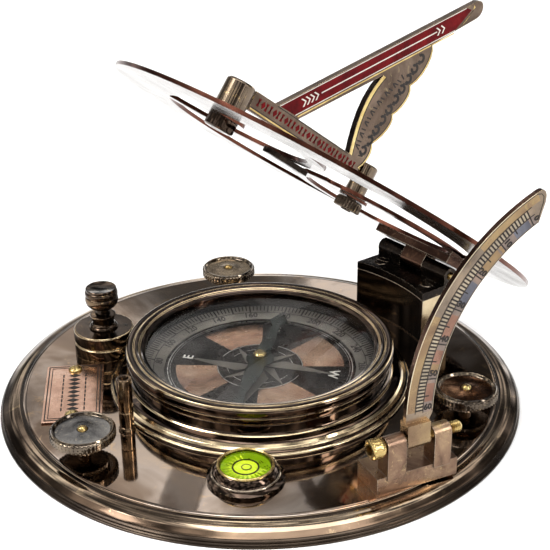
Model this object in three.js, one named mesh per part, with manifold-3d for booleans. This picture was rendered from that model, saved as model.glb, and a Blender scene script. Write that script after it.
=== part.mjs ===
// Brass sundial compass: round base with a compass, level, three levelling screws,
// a hinged equatorial dial with a folding gnomon, and a folding latitude arc.
// Millimetres, +Z up. Origin: centre of the base rim on the ground.
// +Y points at the hinge block, +X at the latitude arc.
import * as THREE from 'three';
import { mergeVertices } from 'three/addons/utils/BufferGeometryUtils.js';
import Module from 'manifold-3d';

const wasm = await Module();
wasm.setup();

// ---- driving dimensions ----
const BASE_R = 75;            // rim radius on the ground
const PLATE_R = 68.3;         // edge of the flat top
const PLATE_Z = 4.5;          // top of the plate
const HEAD_SEAT_Z = 2.4;      // seat of the fixing screws under the base
const BOWL_R = 37.8;          // compass wall
const WINDOW_R = 33;          // compass window
const NEEDLE_DEG = -51;       // heading of the needle's north end
const SCREW_R = 60.5;         // levelling screws from the centre
const SCREW_DEG = [-86.6, 33.4, 153.4];
const WHEEL_R = 8.75;
const TRAVEL_GAP = 2.5;       // wheel hub above the plate
const LOCK = [-42.1, -27.6];  // lock drum centre
const POST = [1.1, -45.8];    // rest post centre
const LEVEL = [39.2, -33.7];  // bubble level centre
const BLOCK_HALF = 15;
const BLOCK_FRONT_R = 52.2;   // concave front, about the compass axis
const BLOCK_BACK_Y = 61.6;
const BLOCK_TOP = 19;
const LEAF_T = 2.3;
const AXIS_Y = 61.3;          // hinge axis, along X
const AXIS_Z = 24;
const TILT_DEG = 37.2;        // dial tilt at rest
const DIAL_R = 65;
const DIAL_IN_R = 48;
const DIAL_OFF = 53.5;        // hinge axis to dial centre
const DIAL_LO = 5.2;          // dial underside above the hinge axis
const DIAL_T = 1.1;
const DIAL_HI = DIAL_LO + DIAL_T;
const BAR_H = 8.6;            // gnomon pivot line above the dial underside
const ARC_TWIST_DEG = 12;     // arc plane turned about the vertical
const ARC_X = 67.6;
const ARC_T = 1.4;
const ARC_C = [54, 24.3];     // arc centre in its plane (along, up)
const ARC_RO = 58.9;
const ARC_RI = 51.4;
const ARC_END_DEG = 62;         // inner corner of the arc's upper end
const PIN_Z = 17.5;           // arc pivot height
const PIN_R = 1.3;
const FIT = 0.1;              // running clearance
const CURVE = 8;              // segments on small extruded curves

const rad = THREE.MathUtils.degToRad;
const BRASS = { color: 0x8a6f4a, roughness: 0.32, metalness: 0.95 };
const DARK = { color: 0x3a2f25, roughness: 0.35, metalness: 0.9 };
const COPPER = { color: 0x9a6448, roughness: 0.35, metalness: 0.9 };
const GOLD = { color: 0xb0904e, roughness: 0.35, metalness: 0.95 };

// ---- helpers ----
function node(name, geometry, look) {
  const mesh = new THREE.Mesh(geometry, new THREE.MeshStandardMaterial(look));
  mesh.name = name;
  return mesh;
}

// Signed volume decides the winding, so every body faces outward.
function facingOut(geometry) {
  const g = geometry.index ? geometry.toNonIndexed() : geometry;
  g.deleteAttribute('normal');
  g.deleteAttribute('uv');
  const p = g.attributes.position;
  const [a, b, c] = [new THREE.Vector3(), new THREE.Vector3(), new THREE.Vector3()];
  let volume = 0;
  for (let i = 0; i < p.count; i += 3) {
    a.fromBufferAttribute(p, i);
    b.fromBufferAttribute(p, i + 1);
    c.fromBufferAttribute(p, i + 2);
    volume += a.dot(b.cross(c));
  }
  if (volume < 0) {
    for (let i = 0; i < p.count; i += 3) {
      b.fromBufferAttribute(p, i + 1);
      c.fromBufferAttribute(p, i + 2);
      p.setXYZ(i + 1, c.x, c.y, c.z);
      p.setXYZ(i + 2, b.x, b.y, b.z);
    }
  }
  return mergeVertices(g, 1e-4);
}

function toSolid(geometry) {
  const g = facingOut(geometry);
  return new wasm.Manifold(new wasm.Mesh({
    numProp: 3,
    vertProperties: Float32Array.from(g.attributes.position.array),
    triVerts: Uint32Array.from(g.index.array),
  }));
}

function fromSolid(solid) {
  const m = solid.getMesh();
  const g = new THREE.BufferGeometry();
  const xyz = new Float32Array(m.numVert * 3);
  for (let i = 0; i < m.numVert; i++) {
    for (let k = 0; k < 3; k++) xyz[3 * i + k] = m.vertProperties[m.numProp * i + k];
  }
  g.setAttribute('position', new THREE.BufferAttribute(xyz, 3));
  g.setIndex(new THREE.BufferAttribute(Uint32Array.from(m.triVerts), 1));
  return g;
}

// Turned piece about +Z from (radius, height) points that start and end on the axis.
function turned(points, segments = 24) {
  const g = new THREE.LatheGeometry(points.map(([r, z]) => new THREE.Vector2(r, z)), segments);
  g.rotateX(Math.PI / 2);
  return facingOut(g);
}

// Turned ring: the same, with the outline closed on itself.
function ring(points, segments = 24) {
  return turned([...points, points[0]], segments);
}

function disc(r, z0, z1, segments = 24) {
  return turned([[0, z0], [r, z0], [r, z1], [0, z1]], segments);
}

function box(x0, x1, y0, y1, z0, z1) {
  const g = new THREE.BoxGeometry(x1 - x0, y1 - y0, z1 - z0);
  return g.translate((x0 + x1) / 2, (y0 + y1) / 2, (z0 + z1) / 2);
}

function slab(shape, z0, z1, curveSegments = CURVE) {
  const g = new THREE.ExtrudeGeometry(shape, { depth: z1 - z0, bevelEnabled: false, curveSegments });
  return facingOut(g.translate(0, 0, z0));
}

function along(geometry, axis) {
  if (axis === 'x') geometry.rotateY(Math.PI / 2);
  if (axis === 'y') geometry.rotateX(-Math.PI / 2);
  return geometry;
}

function cut(geometry, ...tools) {
  return fromSolid(tools.reduce((s, t) => s.subtract(toSolid(t)), toSolid(geometry)));
}

function join(geometry, ...others) {
  return fromSolid(others.reduce((s, t) => s.add(toSolid(t)), toSolid(geometry)));
}

function polar(r, deg) {
  return [r * Math.cos(rad(deg)), r * Math.sin(rad(deg))];
}

// Screw with its head from z0 to z1 (slot in the outer face) and a shank to shankEnd.
function screw(headR, shankR, z0, z1, shankEnd, slotDepth) {
  const up = z1 > shankEnd;
  const outer = up ? z1 : z0;
  const inner = up ? z0 : z1;
  const body = turned([[0, shankEnd], [shankR, shankEnd], [shankR, inner], [headR, inner],
    [headR, outer], [0, outer]], 12);
  const [s0, s1] = up ? [outer - slotDepth, outer + 1] : [outer - 1, outer + slotDepth];
  return cut(body, box(-headR - 1, headR + 1, -0.4, 0.4, s0, s1));
}

const root = new THREE.Group();
root.name = 'sundial';
function put(parent, name, geometry, look, x = 0, y = 0, z = 0, turnDeg = 0) {
  const mesh = node(name, geometry, look);
  mesh.position.set(x, y, z);
  mesh.rotation.z = rad(turnDeg);
  parent.add(mesh);
}

// ---- latitude arc frame: x along the arc plane, y outward, z up ----
const arcFrame = new THREE.Group();
{
  const t = rad(ARC_TWIST_DEG);
  const e = new THREE.Vector3(Math.sin(t), Math.cos(t), 0);
  const out = new THREE.Vector3(Math.cos(t), -Math.sin(t), 0);
  const up = new THREE.Vector3(0, 0, 1);
  const m = new THREE.Matrix4().makeBasis(e, out.clone().negate(), up);
  arcFrame.quaternion.setFromRotationMatrix(m);
  arcFrame.position.set(ARC_X, 0, 0);
}
const BRACKET_SCREWS = [-8, 6];    // along the bracket
const SCREW_DEPTH_W = 3.2;         // inward from the arc's outer face
function arcPoint(a, w) {
  const t = rad(ARC_TWIST_DEG);
  return [ARC_X + a * Math.sin(t) - w * Math.cos(t), a * Math.cos(t) + w * Math.sin(t)];
}

// ---- base ----
const BLOCK_SCREWS = [[-8, 57.6], [8, 57.6]];
function basePlate() {
  const plate = turned([[0, 0], [BASE_R, 0], [BASE_R, 0.6], [74.2, 1.85], [73.5, 2.1], [72.2, 3.2],
    [70.6, 3.85], [PLATE_R, 4], [PLATE_R, PLATE_Z], [0, PLATE_Z]], 60);
  const tools = [];
  for (const d of SCREW_DEG) {
    const [x, y] = polar(SCREW_R, d);
    tools.push(disc(1.65, 1, 6, 16).translate(x, y, 0));
    tools.push(disc(3.3, -1, 2.2, 16).translate(x, y, 0));
  }
  const fixings = [...BLOCK_SCREWS, ...BRACKET_SCREWS.map((a) => arcPoint(a, SCREW_DEPTH_W)), LOCK];
  for (const [x, y] of fixings) {
    tools.push(disc(1.5, 1, 6, 12).translate(x, y, 0));
    tools.push(disc(2.7, -1, HEAD_SEAT_Z, 12).translate(x, y, 0));
  }
  return cut(plate, ...tools);
}
put(root, 'base_plate', basePlate(), DARK);

function underScrew(name, x, y, top) {
  put(root, name, screw(2.5, 1.4, 1.2, HEAD_SEAT_Z, top, 0.5), BRASS, x, y);
}
BLOCK_SCREWS.forEach(([x, y], i) => underScrew(`block_fixing_screw_${i + 1}`, x, y, 10));
BRACKET_SCREWS.forEach((a, i) => {
  underScrew(`bracket_fixing_screw_${i + 1}`, ...arcPoint(a, SCREW_DEPTH_W), 8);
});
underScrew('drum_fixing_screw', ...LOCK, 7);

// ---- compass ----
const bowl = turned([[0, PLATE_Z], [43.5, PLATE_Z], [43.5, 5.2], [42.6, 6], [40.5, 7.5], [38.4, 7.9],
  [BOWL_R, 8.5], [BOWL_R, 13], [34.6, 13], [34.6, 6.5], [0, 6.5]], 44);
put(root, 'compass_bowl', bowl, DARK);
put(root, 'compass_card', disc(34.2, 6.5, 7.3, 32), COPPER);
put(root, 'needle_pivot',
  turned([[0, 7.3], [1.6, 7.3], [1.6, 7.8], [0.5, 8.2], [0.2, 10.4], [0, 10.6]], 12), BRASS);
put(root, 'compass_glass', disc(36, 13, 14.2, 32), { color: 0xeef4f2, roughness: 0.05, metalness: 0 });
put(root, 'compass_bezel', ring([[36.2, 13], [38.6, 13], [38.6, 15.8], [38.1, 16.3], [36.6, 16.3],
  [WINDOW_R, 14.9], [WINDOW_R, 14.3], [36.2, 14.3]], 44), DARK);

function needleBlade() {
  const s = new THREE.Shape();
  s.moveTo(30, 0);
  s.lineTo(24, 1.6);
  s.lineTo(20, 0.9);
  s.lineTo(7, 2.6);
  s.absarc(0, 0, 4, 0.6, Math.PI - 0.6, false);
  s.lineTo(-20, 1.1);
  s.lineTo(-23, 2.8);
  s.lineTo(-29, 0);
  s.lineTo(-23, -2.8);
  s.lineTo(-20, -1.1);
  s.absarc(0, 0, 4, Math.PI + 0.6, 2 * Math.PI - 0.6, false);
  s.lineTo(7, -2.6);
  s.lineTo(20, -0.9);
  s.lineTo(24, -1.6);
  s.closePath();
  const hole = new THREE.Path();
  hole.absarc(0, 0, 2.03, 0, 2 * Math.PI, true);
  s.holes.push(hole);
  return slab(s, 9.4, 9.9);
}
put(root, 'compass_needle', needleBlade(),
  { color: 0x3b4652, roughness: 0.3, metalness: 0.8 }, 0, 0, 0, NEEDLE_DEG);
put(root, 'needle_cap', turned([[0, 11], [0.7, 9], [2, 9], [2, 11.2], [1.5, 11.7], [0, 11.7]], 16), GOLD,
  0, 0, 0, NEEDLE_DEG);

// ---- name plate ----
const plateFrame = new THREE.Group();
plateFrame.position.set(-24.4, -48.2, PLATE_Z);
plateFrame.rotation.z = rad(-31);
root.add(plateFrame);
put(plateFrame, 'name_plate', box(-15.5, 15.5, -8.3, 8.3, 0, 0.6), COPPER);
[-12.6, 12.6].forEach((x, i) => {
  const head = turned([[0, 0.63], [2.05, 0.63], [1.9, 1.2], [1.1, 1.65], [0, 1.75]], 16);
  put(plateFrame, `name_plate_screw_${i + 1}`, cut(head, box(-3, 3, -0.25, 0.25, 1.3, 2)), BRASS, x, 0, 0, 0);
});

// ---- lock drum and knob ----
// Space kept clear round the bowl's stepped foot.
function bowlFoot() {
  return turned([[0, 3], [43.8, 3], [43.8, 5.3], [42.9, 6.2], [40.8, 7.8], [38.2, 8.5], [0, 8.5]], 44);
}
const drum = ring([[1.45, PLATE_Z], [9.05, PLATE_Z], [9.05, 7.9], [8.75, 8.05], [8.75, 8.35],
  [9.05, 8.5], [9.05, 11.9], [8.75, 12.2], [2.3, 12.2], [2.3, 8], [1.45, 8]], 24).translate(...LOCK, 0);
put(root, 'lock_drum', cut(drum, bowlFoot()), DARK);
put(root, 'lock_collar', ring([[2.3, 12.2], [4.3, 12.2], [4.3, 13], [3.2, 13.4], [3.5, 15.8], [3.85, 16.1],
  [3.85, 16.6], [2.3, 16.6]], 16), DARK, ...LOCK);
put(root, 'lock_stem', turned([[0, 8.3], [2.1, 8.3], [2.1, 18.9], [0, 18.9]], 12), DARK, ...LOCK);
put(root, 'lock_knob', turned([[0, 18.9], [3.4, 18.9], [4.6, 19.9], [4.95, 21.2], [4.95, 22.4], [4.7, 22.9],
  [4.9, 23.2], [4.9, 24.2], [4.5, 25.3], [0, 25.3]], 18), DARK, ...LOCK);

// ---- rest post ----
put(root, 'rest_post', turned([[0, PLATE_Z], [2.02, PLATE_Z], [2.02, 5.5], [1.75, 5.8], [2.02, 6.1],
  [2.02, 10.2], [1.75, 10.5], [2.02, 10.8], [2.02, 20.5], [1.3, 20.5], [0.9, 19.2], [0, 19.2]], 12),
  DARK, ...POST);

// ---- bubble level ----
function levelHousing() {
  const cup = turned([[0, PLATE_Z], [10.15, PLATE_Z], [10.15, 5.3], [9.5, 5.6], [8.9, 5.8], [8.65, 6.5],
    [8.2, 7.7], [7.3, 8.4], [6.6, 8.4], [6.6, 5.4], [0, 5.4]], 24).translate(LEVEL[0], LEVEL[1], 0);
  return cut(cup, bowlFoot());
}
put(root, 'level_housing', levelHousing(), BRASS);
put(root, 'level_vial', disc(6.4, 5.4, 7.3, 24), { color: 0xb9e03a, roughness: 0.2, metalness: 0 }, ...LEVEL);
put(root, 'level_glass', disc(6.4, 7.3, 8, 24), { color: 0xe8f0e8, roughness: 0.05, metalness: 0 }, ...LEVEL);

// ---- levelling screws ----
SCREW_DEG.forEach((deg, i) => {
  const [x, y] = polar(SCREW_R, deg);
  const n = i + 1;
  const z = PLATE_Z + TRAVEL_GAP;
  put(root, `levelling_foot_${n}`, turned([[0, 0.1], [2.6, 0.1], [3, 0.5], [3, 1.9], [1.1, 1.9], [1.1, 0.8],
    [0, 0.8]], 12), BRASS, x, y, 0, deg);
  put(root, `levelling_spindle_${n}`, turned([[0, 0.9], [1, 0.9], [1, 2], [1.5, 2.2], [1.5, 11.3],
    [1.1, 12.2], [0, 12.4]], 12), GOLD, x, y, 0, deg);
  put(root, `levelling_wheel_${n}`, ring([[1.56, z], [6.2, z], [6.6, 8.9], [WHEEL_R, 9.1],
    [WHEEL_R, 11.5], [8.3, 12], [6.9, 12], [6.2, 11.1], [1.56, 11.1]], 24), DARK, x, y, 0, deg);
});

// ---- hinge block and fixed leaf ----
function blockOutline() {
  const s = new THREE.Shape();
  const half = Math.asin(BLOCK_HALF / BLOCK_FRONT_R);
  s.moveTo(BLOCK_HALF, BLOCK_BACK_Y);
  s.lineTo(-BLOCK_HALF, BLOCK_BACK_Y);
  s.absarc(0, 0, BLOCK_FRONT_R, Math.PI / 2 + half, Math.PI / 2 - half, true);
  s.closePath();
  return s;
}
const LEAF_SCREWS = [[-10.4, 56.2], [10.4, 56.2]];
function hingeBlock() {
  const body = slab(blockOutline(), PLATE_Z, BLOCK_TOP);
  const tapped = [
    ...BLOCK_SCREWS.map(([x, y]) => disc(1.5, 4, 10.3, 12).translate(x, y, 0)),
    ...LEAF_SCREWS.map(([x, y]) => disc(1.5, 13, 20, 12).translate(x, y, 0)),
  ];
  return cut(body, ...tapped);
}
put(root, 'hinge_block', hingeBlock(), DARK);

function knuckle(x0, x1) {
  return along(disc(2.5, x0, x1, 20), 'x');
}
function fixedLeaf() {
  const top = BLOCK_TOP + LEAF_T;
  const plate = slab(blockOutline(), BLOCK_TOP, top);
  const ends = [[-BLOCK_HALF, -5], [5, BLOCK_HALF]];
  const adds = [];
  for (const [a, b] of ends) {
    adds.push(knuckle(a, b).translate(0, AXIS_Y, AXIS_Z));
    adds.push(box(a, b, 58.9, BLOCK_BACK_Y, top - 1, AXIS_Z));
  }
  const bores = [along(disc(1.3, -16, 16, 20), 'x').translate(0, AXIS_Y, AXIS_Z)];
  for (const [x, y] of LEAF_SCREWS) {
    bores.push(disc(1.5, 18, 22, 16).translate(x, y, 0));
    bores.push(disc(2.6, top - 1.3, 22.5, 20).translate(x, y, 0));
  }
  return cut(join(plate, ...adds), ...bores);
}
put(root, 'hinge_fixed_leaf', fixedLeaf(), DARK);
LEAF_SCREWS.forEach(([x, y], i) => {
  const top = BLOCK_TOP + LEAF_T;
  put(root, `leaf_screw_${i + 1}`, screw(2.45, 1.35, top - 1.2, top, 13.4, 0.6), DARK, x, y, 0, 20 - 30 * i);
});
const pin = along(disc(1.2, -15.2, 15.2, 20), 'x');
put(root, 'hinge_pin', pin, BRASS, 0, AXIS_Y, AXIS_Z);

// ---- dial: x along the hinge, y towards the hinge's far side, z off the dial face ----
const dial = new THREE.Group();
dial.position.set(0, AXIS_Y, AXIS_Z);
dial.rotation.x = -rad(TILT_DEG);
root.add(dial);
const atQ = (q) => -(DIAL_OFF + q);   // q runs from the dial centre away from the hinge

const DIAL_SCREWS = [-10, 10];
const DIAL_SCREW_Y = 4;
const LEAF_LO = 2.7;
function movingLeaf() {
  const leaf = box(-16, 16, -6, 9, LEAF_LO, DIAL_LO - 0.02);
  const barrel = join(knuckle(-4.7, 4.7), box(-4.7, 4.7, -2.5, 2.5, 0, LEAF_LO + 0.5));
  const bores = DIAL_SCREWS.map((x) => disc(1.45, 0, 7, 16).translate(x, DIAL_SCREW_Y, 0));
  return cut(join(leaf, barrel), along(disc(1.3, -16, 16, 20), 'x'), ...bores);
}
put(dial, 'hinge_moving_leaf', movingLeaf(), DARK);

const FRONT_POST = { q: 40.5, r: 4.2, top: 10.65, under: 4.1 };
const REAR_POST = { q: -15, r: 3.1, top: 11.2 };
const CATCH = { q0: 5.7, q1: 23.2, half: 1.8, stud: 14.5 };
// Band of the cut-out pattern: part of an annulus centred cy from the dial centre.
function band(cy, r0, r1) {
  return ring([[r0, DIAL_LO], [r1, DIAL_LO], [r1, DIAL_HI], [r0, DIAL_HI]], 32).translate(0, cy, 0);
}
function tongue(q0, q1, half) {
  const [y0, y1] = [atQ(q0), atQ(q1)];
  const s = new THREE.Shape();
  s.moveTo(-half, y0);
  s.lineTo(half, y0);
  s.lineTo(half, y1);
  s.absarc(0, y1, half, 0, Math.PI * (y1 > y0 ? 1 : -1), y1 < y0);
  s.closePath();
  return slab(s, DIAL_LO, DIAL_HI);
}
function dialRing() {
  const centre = atQ(0);
  const field = toSolid(disc(DIAL_IN_R + 0.5, DIAL_LO - 1, DIAL_HI + 1, 60).translate(0, centre, 0));
  const rim = toSolid(ring([[DIAL_IN_R, DIAL_LO], [DIAL_R, DIAL_LO], [DIAL_R, DIAL_HI],
    [DIAL_IN_R, DIAL_HI]], 60).translate(0, centre, 0));
  const inner = toSolid(band(atQ(45), 28, 33)).add(toSolid(band(atQ(-28), 24, 29))).intersect(field);
  let all = rim.add(inner);
  all = all.add(toSolid(tongue(49, 40.5, 6)));
  all = all.add(toSolid(tongue(2, -15, 5)));
  const y = (p) => atQ(p.q);
  const cuts = [disc(2.05, DIAL_LO - 1, DIAL_HI + 1, 16).translate(0, y(FRONT_POST), 0),
    disc(1.65, DIAL_LO - 1, DIAL_HI + 1, 16).translate(0, y(REAR_POST), 0),
    disc(1.05, DIAL_LO - 1, DIAL_HI + 1, 12).translate(0, atQ(CATCH.stud), 0)];
  for (const x of DIAL_SCREWS) {
    cuts.push(disc(1.5, DIAL_LO - 1, DIAL_HI + 1, 16).translate(x, DIAL_SCREW_Y, 0));
    cuts.push(disc(2.4, DIAL_HI - 0.6, DIAL_HI + 1, 20).translate(x, DIAL_SCREW_Y, 0));
  }
  for (const c of cuts) all = all.subtract(toSolid(c));
  return fromSolid(all);
}
put(dial, 'dial_ring', dialRing(), COPPER);
DIAL_SCREWS.forEach((x, i) => {
  put(dial, `dial_screw_${i + 1}`, screw(2.25, 1.35, DIAL_HI - 0.55, DIAL_HI, LEAF_LO + 0.2, 0.3), BRASS,
    x, DIAL_SCREW_Y, 0, 15);
});

// Gnomon posts: collar on the dial, stud through it, slot and bore for the gnomon's pivot.
const GAP = 0.05;
const PIVOT_R = 1.1;
const pivotBore = (q0, q1, r) => along(disc(r, 0, Math.abs(q1 - q0), 16), 'y')
  .translate(0, Math.min(atQ(q0), atQ(q1)), DIAL_LO + BAR_H);
function frontPost() {
  const { r, top, under } = FRONT_POST;
  const outline = [[0, -3.2], [under - 0.4, -3.2], [under, -2.8], [under, -0.05], [2, -0.05],
    [2, DIAL_T + GAP], [r, DIAL_T + GAP], [r, top - 0.6], [r - 0.6, top], [0, top]];
  const body = turned(outline, 20).translate(0, atQ(FRONT_POST.q), DIAL_LO);
  return cut(body, pivotBore(FRONT_POST.q - 10, FRONT_POST.q - 0.5, PIVOT_R + FIT));
}
function rearPost() {
  const { r, top } = REAR_POST;
  const body = turned([[0, -3.7], [1.55, -3.7], [1.55, DIAL_T + GAP], [r, DIAL_T + GAP], [r, top - 0.4],
    [r - 0.4, top], [0, top]], 16).translate(0, atQ(REAR_POST.q), DIAL_LO);
  return cut(body, pivotBore(REAR_POST.q + 10, REAR_POST.q + 0.4, PIVOT_R + FIT));
}
put(dial, 'gnomon_post_front', frontPost(), BRASS);
put(dial, 'gnomon_post_rear', rearPost(), BRASS);
// Catch for the folded gnomon: a bar with round ends under the dial, riveted to its inner band.
function catchBar() {
  const { q0, q1, half, stud } = CATCH;
  const [y0, y1] = [atQ(q1), atQ(q0)];
  const s = new THREE.Shape();
  s.absarc(0, y1 - half, half, 0, Math.PI, false);
  s.absarc(0, y0 + half, half, Math.PI, Math.PI * 2, false);
  s.closePath();
  const rivet = disc(1, DIAL_LO - 0.5, DIAL_HI, 12).translate(0, atQ(stud), 0);
  return join(slab(s, DIAL_LO - 1.6, DIAL_LO - GAP), rivet);
}
put(dial, 'gnomon_catch', catchBar(), DARK);
put(dial, 'post_nut',
  ring([[1.65, -3.4], [3.7, -3.4], [4.1, -3], [4.1, -0.6], [3.7, -0.15], [1.65, -0.15]], 20),
  DARK, 0, atQ(REAR_POST.q), DIAL_LO);

// Gnomon: outline in (q, height over the dial underside), turned into the x = 0 plane.
const GNOMON_T = 2;
function gnomonPlate() {
  const s = new THREE.Shape();
  s.moveTo(35.6, 5.2);
  s.lineTo(35.6, 10.6);
  s.lineTo(26.9, 10.7);
  s.lineTo(-21.5, 69);
  s.quadraticCurveTo(-23.4, 70.6, -24.8, 68.8);
  s.quadraticCurveTo(-26, 66.6, -24.2, 64.4);
  s.lineTo(-13.4, 50.4);
  const notches = [[-13.4, 50.4], [-13.6, 36.8], [-12.8, 26.9], [-11, 16.6], [-10.9, 8.6]];
  for (let i = 1; i < notches.length; i++) {
    const [[q0, h0], [q1, h1]] = [notches[i - 1], notches[i]];
    const bulge = 0.24 * (h0 - h1);
    s.bezierCurveTo(q0 - bulge, h0 - 1.5, q1 - bulge, h1 + (h0 - h1) * 0.3, q1, h1);
  }
  s.lineTo(-11.5, 5.4);
  s.closePath();
  const h = new THREE.Path();
  h.moveTo(18.4, 10.6);
  h.lineTo(-4.6, 10.6);
  h.bezierCurveTo(-1.6, 18, 0.9, 26, -1.9, 34.4);
  h.closePath();
  s.holes.push(h);
  const g = new THREE.ExtrudeGeometry(s, { depth: GNOMON_T, bevelEnabled: false, curveSegments: 6 });
  const m = new THREE.Matrix4().makeBasis(new THREE.Vector3(0, -1, 0), new THREE.Vector3(0, 0, 1),
    new THREE.Vector3(-1, 0, 0));
  g.applyMatrix4(m);
  g.translate(GNOMON_T / 2, atQ(0), DIAL_LO);
  const plate = facingOut(g);
  return cut(plate, pivotBore(36, 32.6, 0.95), pivotBore(-13, -8.5, 0.75));
}
put(dial, 'gnomon', gnomonPlate(), BRASS);
put(dial, 'gnomon_pivot_front', pivotBore(FRONT_POST.q - 1, 32.8, 0.9), GOLD);
put(dial, 'gnomon_pivot_rear', pivotBore(REAR_POST.q + 1, -9.2, 0.7), GOLD);

// ---- latitude arc ----
const arcXY = (r, deg) => [ARC_C[0] - r * Math.cos(rad(deg)), ARC_C[1] + r * Math.sin(rad(deg))];
function arcPlate() {
  const steps = 22;
  const s = new THREE.Shape();
  s.moveTo(-4.9, PIN_Z);
  for (let i = 0; i <= steps; i++) s.lineTo(...arcXY(ARC_RO, (i / steps) * (ARC_END_DEG + 2.8)));
  s.quadraticCurveTo(...arcXY(ARC_RO + 0.1, ARC_END_DEG + 5.2), ...arcXY(ARC_RO - 2.2, ARC_END_DEG + 4.6));
  s.lineTo(...arcXY(ARC_RO - 3.6, ARC_END_DEG + 3.9));
  for (let i = steps; i >= 0; i--) s.lineTo(...arcXY(ARC_RI, (i / steps) * ARC_END_DEG));
  s.lineTo(1.5, 22);
  s.lineTo(1.5, PIN_Z);
  s.closePath();
  const g = new THREE.ExtrudeGeometry(s, { depth: ARC_T, bevelEnabled: false });
  g.rotateX(Math.PI / 2);
  g.translate(0, ARC_T, 0);
  const eye = along(disc(2.3, -4.9, 1.5, 20), 'x').translate(0, ARC_T / 2, PIN_Z);
  const bore = along(disc(PIN_R + FIT, -6, 3, 20), 'x').translate(0, ARC_T / 2, PIN_Z);
  const lug = box(-4.9, 1.5, -1.3, ARC_T + 1.1, PIN_Z - 0.5, 22.6);
  return cut(join(g, eye, lug), bore);
}
root.add(arcFrame);
put(arcFrame, 'latitude_arc', arcPlate(), BRASS);

const CHEEK_R = 2.5;
const FOOT = { a0: -13.2, a1: 10, out: -1.3, back: 8.7, top: 9.6 };
function cheek(a0, a1) {
  const side = box(a0, a1, ARC_T / 2 - CHEEK_R, ARC_T / 2 + CHEEK_R, FOOT.top - 1, PIN_Z);
  return join(side, along(disc(CHEEK_R, a0, a1, 24), 'x').translate(0, ARC_T / 2, PIN_Z));
}
function bracket() {
  const foot = box(FOOT.a0, FOOT.a1, FOOT.out, FOOT.back, PLATE_Z, FOOT.top);
  const both = join(foot, cheek(-10.6, -5.3), cheek(2.7, 7.6));
  const tools = [along(disc(PIN_R + 0.03, -14, 12, 20), 'x').translate(0, ARC_T / 2, PIN_Z)];
  for (const a of BRACKET_SCREWS) tools.push(disc(1.5, 4, 8.3, 12).translate(a, SCREW_DEPTH_W, 0));
  return cut(both, ...tools);
}
put(arcFrame, 'arc_bracket', bracket(), COPPER);
const pinAt = (g) => along(g, 'x').translate(0, ARC_T / 2, PIN_Z);
put(arcFrame, 'arc_pin', pinAt(disc(PIN_R, -12.4, 11.2, 20)), GOLD);
put(arcFrame, 'arc_thumb_knob', cut(pinAt(ring([[1.33, -14.6], [2.3, -14.6], [2.7, -14.2], [2.7, -11.3],
  [2.3, -10.9], [1.33, -10.9]], 20))), BRASS);

export default root;
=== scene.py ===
import math

import bmesh
import bpy
from mathutils import Matrix, Vector


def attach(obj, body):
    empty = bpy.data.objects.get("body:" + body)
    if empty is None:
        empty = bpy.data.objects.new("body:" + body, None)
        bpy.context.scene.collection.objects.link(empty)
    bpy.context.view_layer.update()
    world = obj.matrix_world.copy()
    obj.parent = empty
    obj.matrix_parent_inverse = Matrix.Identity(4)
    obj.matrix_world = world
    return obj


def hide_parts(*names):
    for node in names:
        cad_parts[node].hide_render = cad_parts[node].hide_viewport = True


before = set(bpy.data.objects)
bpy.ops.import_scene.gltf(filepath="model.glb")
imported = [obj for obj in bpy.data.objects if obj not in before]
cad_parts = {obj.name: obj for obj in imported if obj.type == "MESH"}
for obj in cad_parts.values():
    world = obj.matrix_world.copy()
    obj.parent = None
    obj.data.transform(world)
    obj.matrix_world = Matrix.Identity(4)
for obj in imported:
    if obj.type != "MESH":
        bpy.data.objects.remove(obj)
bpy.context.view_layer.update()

MM = 0.001

# driving sizes of the part, in millimetres, as the CAD has them
PLATE_Z = 4.5
TILT = math.radians(37.2)
HINGE = Vector((0, 61.3, 24))
DIAL_OFF, DIAL_LO, DIAL_T = 53.5, 5.2, 1.1
DIAL_HI = DIAL_LO + DIAL_T
ARC_X, ARC_C, ARC_T, PIN_Z = 67.6, (54, 24.3), 1.4, 17.5
TWIST = math.radians(12)
LOCK, POST, LEVEL = (-42.1, -27.6, 0), (1.1, -45.8, 0), (39.2, -33.7, 0)
POST_FRONT_Q, POST_REAR_Q = 40.5, -15
BLADE_T = 2


def polar(centre, r, deg):
    """The point r from a centre, deg round from x."""
    return (centre[0] + r * math.cos(math.radians(deg)), centre[1] + r * math.sin(math.radians(deg)))


def at_q(q):
    """The dial frame's y of a place q from the dial's centre, away from the hinge."""
    return -(DIAL_OFF + q)


ORIGIN = (0, 0, 0)
SCREWS = [polar(ORIGIN, 60.5, d) for d in (-86.6, 33.4, 153.4)]
DIAL_CENTRE = (0, at_q(0))

IDENT = Matrix.Identity(4)
DIAL_M = Matrix.Translation(HINGE) @ Matrix.Rotation(-TILT, 4, "X")
ARC_M = Matrix.Translation((ARC_X, 0, 0)) @ Matrix((
    (math.sin(TWIST), -math.cos(TWIST), 0, 0),
    (math.cos(TWIST), math.sin(TWIST), 0, 0),
    (0, 0, 1, 0),
    (0, 0, 0, 1)))
# the gnomon's frame: x away from the hinge, y up from the dial's underside, z across the blade
BLADE_M = DIAL_M @ Matrix.Translation((*DIAL_CENTRE, DIAL_LO)) @ Matrix((
    (0, 0, 1, 0),
    (-1, 0, 0, 0),
    (0, 1, 0, 0),
    (0, 0, 0, 1)))
NAME_PLATE_M = Matrix.Translation((-24.4, -48.2, PLATE_Z)) @ Matrix.Rotation(math.radians(-31), 4, "Z")


# ---------------------------------------------------------------- materials
def new_material(name):
    m = bpy.data.materials.new(name)
    m.use_nodes = True
    t = m.node_tree
    t.nodes.clear()
    out = t.nodes.new("ShaderNodeOutputMaterial")
    b = t.nodes.new("ShaderNodeBsdfPrincipled")
    t.links.new(b.outputs[0], out.inputs[0])
    return m, t, b


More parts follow.
